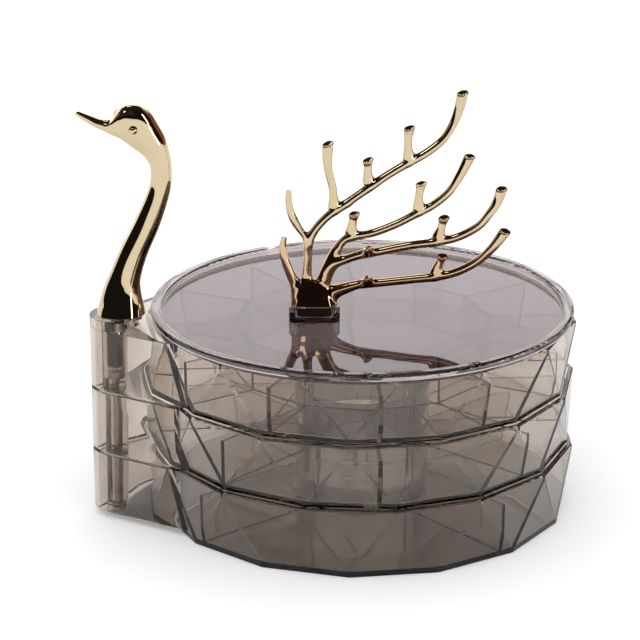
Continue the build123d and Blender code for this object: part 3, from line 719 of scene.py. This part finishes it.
def radius_along(path, root, middle, tip, root_run, tip_run):
    """Radius at each point: full at the root, slim midway and flared at the tip."""
    lengths = run_lengths(path)
    radii = []
    for length in lengths:
        radius = middle
        if length < root_run:
            radius += (root - middle) * (1.0 - length / root_run) ** ROOT_CURVE
        left = lengths[-1] - length
        if left < tip_run:
            radius += (tip - middle) * (1.0 - left / tip_run) ** TIP_CURVE
        radii.append(radius)
    return radii


def twig_radii(path, root, waist, tip):
    """Thin on the limb's axis so that the limb's far side stays even, full where it leaves it, flared at its cut."""
    lengths = run_lengths(path)
    marks = (0.0, TWIG_SET_IN, TWIG_SET_IN + TWIG_TAPER, TWIG_WAIST_END * lengths[-1] + TWIG_SET_IN, lengths[-1])
    return [float(np.interp(length, sorted(marks), (TWIG_CORE, root, waist, waist, tip))) for length in lengths]


def branch_bars(settings):
    """Every limb, twig and knob: its path, its radii and whether its end is cut, in millimetres."""
    root, waist, tip = (value / MM for value in (settings.twig_root, settings.twig_waist, settings.twig_tip))
    bars = []
    for name, points in LIMBS.items():
        path = smooth_path(points)
        start, middle, end, run = LIMB_RADII[name]
        bars.append((path, radius_along(path, start, middle, end, ROOT_RUN, run), name in CUT_LIMBS))
    for points in TWIGS:
        path = smooth_path(points)
        bars.append((path, twig_radii(path, root, waist, tip), True))
    for points in KNOBS:
        path = smooth_path(points)
        bars.append((path, radius_along(path, TWIG_CORE, KNOB_RADIUS, KNOB_RADIUS, TWIG_SET_IN, KNOB_RUN), False))
    return bars


def nearest_on(points, path, radii):
    """For each point: its way out from a bar's axis, its gap to the bar's surface and the nearest sample."""
    square = (points ** 2).sum(1)[:, None] - 2.0 * points @ path.T + (path ** 2).sum(1)[None, :]
    sample = square.argmin(1)
    away, gap = np.zeros_like(points), np.full(len(points), np.inf)
    for first in (sample - 1, sample):
        a, b = np.clip(first, 0, len(path) - 1), np.clip(first + 1, 0, len(path) - 1)
        run = path[b] - path[a]
        share = np.clip(((points - path[a]) * run).sum(1) / np.maximum((run ** 2).sum(1), 1e-9), 0.0, 1.0)
        out = points - path[a] - run * share[:, None]
        length = np.linalg.norm(out, axis=1)
        miss = length - radii[a] - (radii[b] - radii[a]) * share
        out /= np.maximum(length, 1e-9)[:, None]
        away = np.where((miss < gap)[:, None], out, away)
        gap = np.minimum(gap, miss)
    return away, gap, sample


def block_share(points, height):
    """How far out each point lies between the block's middle, at 0, and its side, at 1."""
    heights, middles, lengths, widths = np.array(BUTT).T
    along = (points[:, 0] - np.interp(height, heights, middles)) / np.interp(height, heights, lengths)
    across = points[:, 1] / np.interp(height, heights, widths)
    return (np.abs(along) ** BUTT_POWER + np.abs(across) ** BUTT_POWER) ** (1.0 / BUTT_POWER)


def nearest_on_block(points):
    """For each point: its way out from the tapered block and its gap to the block's surface."""
    height = np.minimum(points[:, 2], BUTT_TOP)
    share = np.maximum(block_share(points, height), 1e-3)
    step = 0.05
    slope = np.stack([
        block_share(points + (step, 0.0, 0.0), height) - share,
        block_share(points + (0.0, step, 0.0), height) - share,
        block_share(points, np.minimum(height + step, BUTT_TOP)) - share], axis=1) / step
    steep = np.maximum(np.linalg.norm(slope, axis=1), 1e-6)
    gap, away = (share - 1.0) / steep, slope / steep[:, None]
    rise = np.maximum(points[:, 2] - BUTT_TOP, 0.0)
    above, side = rise > 0.0, np.maximum(gap, 0.0)
    length = np.maximum(np.hypot(side, rise), 1e-9)
    over = (away * side[:, None] + np.array((0.0, 0.0, 1.0)) * rise[:, None]) / length[:, None]
    return np.where(above[:, None], over, away), np.where(above, length, gap)


def skin(points, bars):
    """Gap of each point to the skin that flows over bars and block, the way out, and how firmly it holds."""
    total, hold = np.full(len(points), 1e-30), np.zeros(len(points))
    slope = np.zeros((len(points), 3))

    def add(index, away, gap, firm):
        weight = np.exp(-gap / FORK_FLOW)
        total[index] += weight
        slope[index] += away * weight[:, None]
        hold[index] += firm * weight

    for path, radii, firm in bars:
        reach = radii.max() + FLOW_REACH
        index = np.nonzero(((points > path.min(0) - reach) & (points < path.max(0) + reach)).all(1))[0]
        away, gap, sample = nearest_on(points[index], path, radii)
        add(index, away, gap, firm[sample])
    index = np.nonzero(points[:, 2] < BUTT_TOP + FLOW_REACH)[0]
    add(index, *nearest_on_block(points[index]), 1.0)
    return -FORK_FLOW * np.log(total), slope / total[:, None], hold / total


def firmness(path, cut):
    """1 along a bar, fading to 0 where its cut end keeps its own shape."""
    if not cut:
        return np.ones(len(path))
    lengths = np.array(run_lengths(path))
    return np.clip((lengths[-1] - lengths - CUT_CLEAR) / CUT_FADE, 0.0, 1.0)


def eased(points, edges, share, passes):
    """Relaxes points towards the middle of their neighbours, by each one's share."""
    ends, others = edges.ravel(), edges[:, ::-1].ravel()
    count = np.bincount(ends, minlength=len(points))[:, None]
    for _ in range(passes):
        middle = np.stack([np.bincount(ends, points[others, axis], len(points)) for axis in range(3)], axis=1)
        points = points + 0.5 * share[:, None] * (middle / count - points)
    return points


def rows(items, name, width, kind=float):
    """An attribute of a mesh's elements as rows of numbers."""
    values = np.empty(len(items) * width, kind)
    items.foreach_get(name, values)
    return values.reshape(-1, width)


def cast_skin(name, bm, voxel, bars, place):
    """Joins overlapping bars into one skin that flows smoothly from each into the next, in millimetres."""
    mesh = applied(mesh_from(bm, name), name, "REMESH", mode="VOXEL", voxel_size=voxel)
    points, edges = rows(mesh.vertices, "co", 3), rows(mesh.edges, "vertices", 2, np.int32)
    whole = np.ones(len(points))
    bars = [(np.array(path), np.array(radii), firmness(path, cut)) for path, radii, cut in bars]
    hold = skin(points, bars)[2]
    points = eased(points, edges, 1.0 - hold, CUT_EASE)
    for _ in range(SKIN_STEPS):
        gap, slope = skin(points, bars)[:2]
        step = gap / np.maximum((slope ** 2).sum(1), LEAST_SLOPE) * hold
        points -= slope * np.clip(step, -LONGEST_STEP, LONGEST_STEP)[:, None]
    points = eased(points, edges, whole, POLISH)
    slope = eased(skin(points, bars)[1], edges, whole, POLISH)
    points[:, 2] = np.maximum(points[:, 2], 0.0)
    mesh.vertices.foreach_set("co", points.ravel())
    mesh.update()
    normals = rows(mesh.vertices, "normal", 3)
    hold[points[:, 2] < SEAT_EDGE] = 0.0
    slope /= np.maximum(np.linalg.norm(slope, axis=1), 1e-9)[:, None]
    normals += (slope - normals) * hold[:, None]
    normals = normals @ np.linalg.inv(np.array(place.to_3x3()))
    normals /= np.linalg.norm(normals, axis=1)[:, None]
    mesh.transform(place)
    mesh.shade_smooth()
    mesh.normals_split_custom_set_from_vertices(normals)
    return mesh


def rounded_block(bm, sections, power, sides=40):
    """Closed block through rounded rectangles: height, middle along, half length, half width."""
    rings = []
    for z, x, half_length, half_width in sections:
        ring = []
        for k in range(sides):
            angle = 2 * pi * k / sides
            c, s = cos(angle), sin(angle)
            reach = (abs(c) ** power + abs(s) ** power) ** (-1.0 / power)
            ring.append(bm.verts.new((x + half_length * reach * c, half_width * reach * s, z)))
        rings.append(ring)
    bridge(bm, rings, (sections[0][1], 0.0, sections[0][0]), (sections[-1][1], 0.0, sections[-1][0]))


class BOX_OT_trays(bpy.types.Operator):
    """Dress the three trays in smoked clear acrylic with rounded moulded edges"""
    bl_idname = "jewellery_box.trays"
    bl_label = "Trays"

    def execute(self, context):
        settings = context.scene.box_acrylic
        column = (settings.column_tint, (HINGE, COLUMN_REACH, COLUMN_FADE, SOCKET_TOP))
        smoked = acrylic("Smoked acrylic", settings.tint, column, settings.smoke, settings.density)
        # Painted shade: the lowest tray's deeper acrylic stands in for the shadowed floor seen through it
        deep = acrylic("Smoked acrylic deepened as painted shade", settings.base_painted_shade_tint, column, settings.base_painted_shade_smoke, settings.base_painted_shade_density)
        for node, material, slot in (("bottom_tray", deep, "base_acrylic"), ("middle_tray", smoked, "tray_acrylic"),
                                     ("top_tray", smoked, "tray_acrylic")):
            mesh = rounded_copy(node, settings.edge_round, settings.edge_steps,
                                settings.facet_round / settings.edge_round)
            place_piece(node + "_moulding", mesh, material, node)
        return {"FINISHED"}


class BOX_OT_lid(bpy.types.Operator):
    """Dress the round lid with its raised rim and branch socket"""
    bl_idname = "jewellery_box.lid"
    bl_label = "Lid"

    def execute(self, context):
        settings = context.scene.box_acrylic
        # Painted light: the rim's lighter tint and the clear socket above the rim seat stand in for the highlights
        # they catch
        panel = (settings.lid_tint, ((0.0, 0.0, 0.0), PANEL_REACH, PANEL_FADE, RIM_SEAT))
        material = acrylic("Lid acrylic", settings.rim_painted_light_tint, panel, settings.lid_smoke, settings.lid_density)
        mesh = lid_mesh(settings.edge_round, settings.edge_steps)
        place_piece("lid_moulding", mesh, material, "lid")
        return {"FINISHED"}


class BOX_OT_neck(bpy.types.Operator):
    """Build the gilt swan's neck with its head, beak and eyes, and the plug that holds it"""
    bl_idname = "jewellery_box.neck"
    bl_label = "Swan's neck"

    def execute(self, context):
        settings = context.scene.box_gilt
        material = plated("Neck gilt", settings.colour, shaded(settings.colour, 0.97), settings.roughness,
                          haze=0.015, ripple=0.04)
        place_piece("swan_neck_casting", neck_mesh(settings), material, "swan_neck")
        place_piece("neck_plug_turned", plug_mesh(), dark_casting_and_painted_shade(), "swan_neck")
        return {"FINISHED"}


class BOX_OT_branch(bpy.types.Operator):
    """Build the gilt branch with its melted forks and hollowed cut tips"""
    bl_idname = "jewellery_box.branch"
    bl_label = "Branch"

    def execute(self, context):
        settings = context.scene.box_gilt
        turn = Matrix.Rotation(BRANCH_TURN, 4, "Z")
        place = Matrix.Translation(turn @ Vector(BRANCH_SEAT)) @ turn @ Matrix.Scale(MM, 4)
        bars = branch_bars(settings)
        bm = bmesh.new()
        for bar in bars:
            add_bar(bm, *bar)
        rounded_block(bm, BUTT, BUTT_POWER)
        mesh = cast_skin("branch", bm, settings.voxel / MM, bars, place @ Matrix.Diagonal((1.0, PRESSED, 1.0, 1.0)))
        # The branch's redder underside colour is a painted reflection
        material = plated("Branch gilt", settings.colour, shaded(settings.colour, 0.95), settings.roughness,
                          haze=0.02, ripple=0.06, under=settings.underside_painted_reflection)
        place_piece("tail_branch_casting", mesh, material, "tail_branch")
        depth = (TENON_BOTTOM - SOCKET_TOP) / MM
        bm = bmesh.new()
        rounded_block(bm, ((depth, 0.0, TENON_LENGTH - TENON_CHAMFER, TENON_WIDTH - TENON_CHAMFER),
                           (depth + TENON_CHAMFER, 0.0, TENON_LENGTH, TENON_WIDTH),
                           (TENON_TOP, 0.0, TENON_LENGTH, TENON_WIDTH)), TENON_POWER)
        bm.transform(place)
        # Painted shade: the tenon takes the dark casting to stand in for the dark socket round it
        place_piece("branch_tenon_cast", mesh_from(bm, "tenon"), dark_casting_and_painted_shade(), "tail_branch")
        return {"FINISHED"}


class BOX_OT_hinge(bpy.types.Operator):
    """Dress the bolt, nut, washer and spacers inside the hinge column"""
    bl_idname = "jewellery_box.hinge"
    bl_label = "Hinge hardware"

    def execute(self, context):
        steel = plated("Bright steel", (0.62, 0.61, 0.60), (0.52, 0.51, 0.50), polish=0.16, haze=0.1, ripple=0.2)
        for node in ("hinge_bolt", "hinge_nut", "nut_washer"):
            place_piece(node + "_turned", rounded_copy(node, STEEL_ROUND, 2), steel, node)
        white = nylon()
        for node in ("lower_spacer", "upper_spacer"):
            place_piece(node + "_ring", rounded_copy(node, SPACER_ROUND, 2), white, node)
        return {"FINISHED"}


def floor_material(settings):
    """Pale floor that keeps the box's shadow and is lifted to white where it is seen."""
    material, tree, shader = new_material("Pale floor")
    grain = add_node(tree, "ShaderNodeTexNoise", {"Scale": FLOOR_GRAIN}).outputs["Fac"]
    colour = settings.floor_colour
    base = mixed(tree, grain, (*colour, 1.0), (*shaded(colour, FLOOR_SHADE), 1.0))
    feed(tree, shader, {"Base Color": base, "Roughness": 0.9, "Specular IOR Level": 0.0})
    ray = add_node(tree, "ShaderNodeLightPath").outputs
    mirrored = maths(tree, "MAXIMUM", ray["Is Glossy Ray"], ray["Is Transmission Ray"])
    dim = maths(tree, "MULTIPLY", mirrored, settings.glass_lift)
    amount = maths(tree, "MULTIPLY_ADD", ray["Is Camera Ray"], settings.floor_lift, dim)
    glow = add_node(tree, "ShaderNodeEmission", {"Strength": amount})
    both = add_node(tree, "ShaderNodeAddShader", {0: shader.outputs[0], 1: glow.outputs[0]})
    feed(tree, tree.nodes["Material Output"], {"Surface": both.outputs[0]})
    return material


def bearing(azimuth, elevation, reach):
    """Point at a bearing and height round the box."""
    azimuth, elevation = radians(azimuth), radians(elevation)
    level = cos(elevation)
    return STAGE_HEART + Vector((sin(azimuth) * level, cos(azimuth) * level, sin(elevation))) * reach


def flag(name, start, end, low, high, shade):
    """Curved flag round the box, out of the camera's sight, that polished and clear surfaces reflect."""
    material, tree, shader = new_material(name)
    tree.nodes.remove(shader)
    glow = add_node(tree, "ShaderNodeEmission", {"Color": (*shade, 1.0)})
    feed(tree, tree.nodes["Material Output"], {"Surface": glow.outputs[0]})
    bm = bmesh.new()
    steps_round, steps_up = (max(2, round(angle / FLAG_STEP)) for angle in (end - start, high - low))
    grid = [[bm.verts.new(bearing(start + (end - start) * i / steps_round, low + (high - low) * j / steps_up,
                                  FLAG_RANGE)) for i in range(steps_round + 1)] for j in range(steps_up + 1)]
    for lower, upper in zip(grid, grid[1:]):
        for i in range(steps_round):
            bm.faces.new((lower[i], lower[i + 1], upper[i + 1], upper[i]))
    mesh = mesh_from(bm, name)
    mesh.materials.append(material)
    piece = add_object(name, mesh)
    piece.visible_camera = False
    piece.visible_diffuse = False
    piece.visible_shadow = False
    piece.visible_volume_scatter = False
    piece.visible_transmission = max(shade) < WINDOW_LEVEL


def lamp(name, azimuth, elevation, width, height, level):
    """Soft lamp as wide and as high as the given angles, seen from the box."""
    light = bpy.data.lights.new(name, "AREA")
    light.shape = "RECTANGLE"
    light.size = LAMP_RANGE * radians(width)
    light.size_y = LAMP_RANGE * radians(height)
    light.energy = level * pi * light.size * light.size_y
    item = add_object(name, light)
    item.location = bearing(azimuth, elevation, LAMP_RANGE)
    item.rotation_euler = (STAGE_HEART - item.location).to_track_quat("-Z", "Y").to_euler()
    item.visible_camera = False


class BOX_OT_stage(bpy.types.Operator):
    """Set the floor, the studio light, the dark flags and the camera"""
    bl_idname = "jewellery_box.stage"
    bl_label = "Stage"

    def execute(self, context):
        settings = context.scene.box_stage
        scene = context.scene
        bm = bmesh.new()
        bmesh.ops.create_circle(bm, cap_ends=True, segments=FLOOR_SIDES, radius=settings.floor_radius)
        floor = add_object("floor", mesh_from(bm, "floor"))
        floor.location.z = -FLOOR_DROP
        floor.data.materials.append(floor_material(settings))
        scene.world = bpy.data.worlds.new("Studio")
        scene.world.use_nodes = True
        tree = scene.world.node_tree
        feed(tree, tree.nodes["Background"], {"Color": (1.0, 1.0, 1.0, 1.0), "Strength": settings.sky_level})
        for values in FLAGS:
            flag(*values)
        for values in LAMPS:
            lamp(*values, settings.lamp_level)
        camera = bpy.data.cameras.new("camera")
        camera.lens = settings.lens
        camera.sensor_width = 36.0
        viewer = add_object("camera", camera)
        azimuth, elevation = settings.azimuth, settings.elevation
        forward = Vector((-sin(azimuth) * cos(elevation), cos(azimuth) * cos(elevation), -sin(elevation)))
        viewer.location = Vector(settings.aim) - forward * settings.distance
        viewer.rotation_euler = forward.to_track_quat("-Z", "Y").to_euler()
        scene.camera = viewer
        scene.view_settings.view_transform = "Standard"
        scene.cycles.max_bounces = 40
        scene.cycles.transmission_bounces = 40
        scene.cycles.glossy_bounces = 12
        scene.cycles.transparent_max_bounces = 24
        return {"FINISHED"}


class BOX_PT_panel(bpy.types.Panel):
    """Every step of the jewellery box in order"""
    bl_label = "Jewellery box"
    bl_idname = "BOX_PT_panel"
    bl_space_type = "VIEW_3D"
    bl_region_type = "UI"
    bl_category = "Jewellery box"

    def draw(self, context):
        for name, _group in SETTINGS:
            settings, box = getattr(context.scene, name), self.layout.box()
            for key in settings.bl_rna.properties.keys():
                if key not in ("rna_type", "name"):
                    box.prop(settings, key)
        for operator in OPERATORS:
            self.layout.operator(operator.bl_idname)


OPERATORS = (BOX_OT_trays, BOX_OT_lid, BOX_OT_neck, BOX_OT_branch, BOX_OT_hinge, BOX_OT_stage)
SETTINGS = (("box_acrylic", AcrylicSettings), ("box_gilt", GiltSettings), ("box_stage", StageSettings))


def register():
    for name, group in SETTINGS:
        bpy.utils.register_class(group)
        setattr(bpy.types.Scene, name, PointerProperty(type=group))
    for operator in OPERATORS:
        bpy.utils.register_class(operator)
    bpy.utils.register_class(BOX_PT_panel)


def unregister():
    bpy.utils.unregister_class(BOX_PT_panel)
    for operator in reversed(OPERATORS):
        bpy.utils.unregister_class(operator)
    for name, group in reversed(SETTINGS):
        delattr(bpy.types.Scene, name)
        bpy.utils.unregister_class(group)


def main():
    register()
    for operator in OPERATORS:
        family, name = operator.bl_idname.split(".")
        getattr(getattr(bpy.ops, family), name)()


if __name__ == "__main__":
    main()
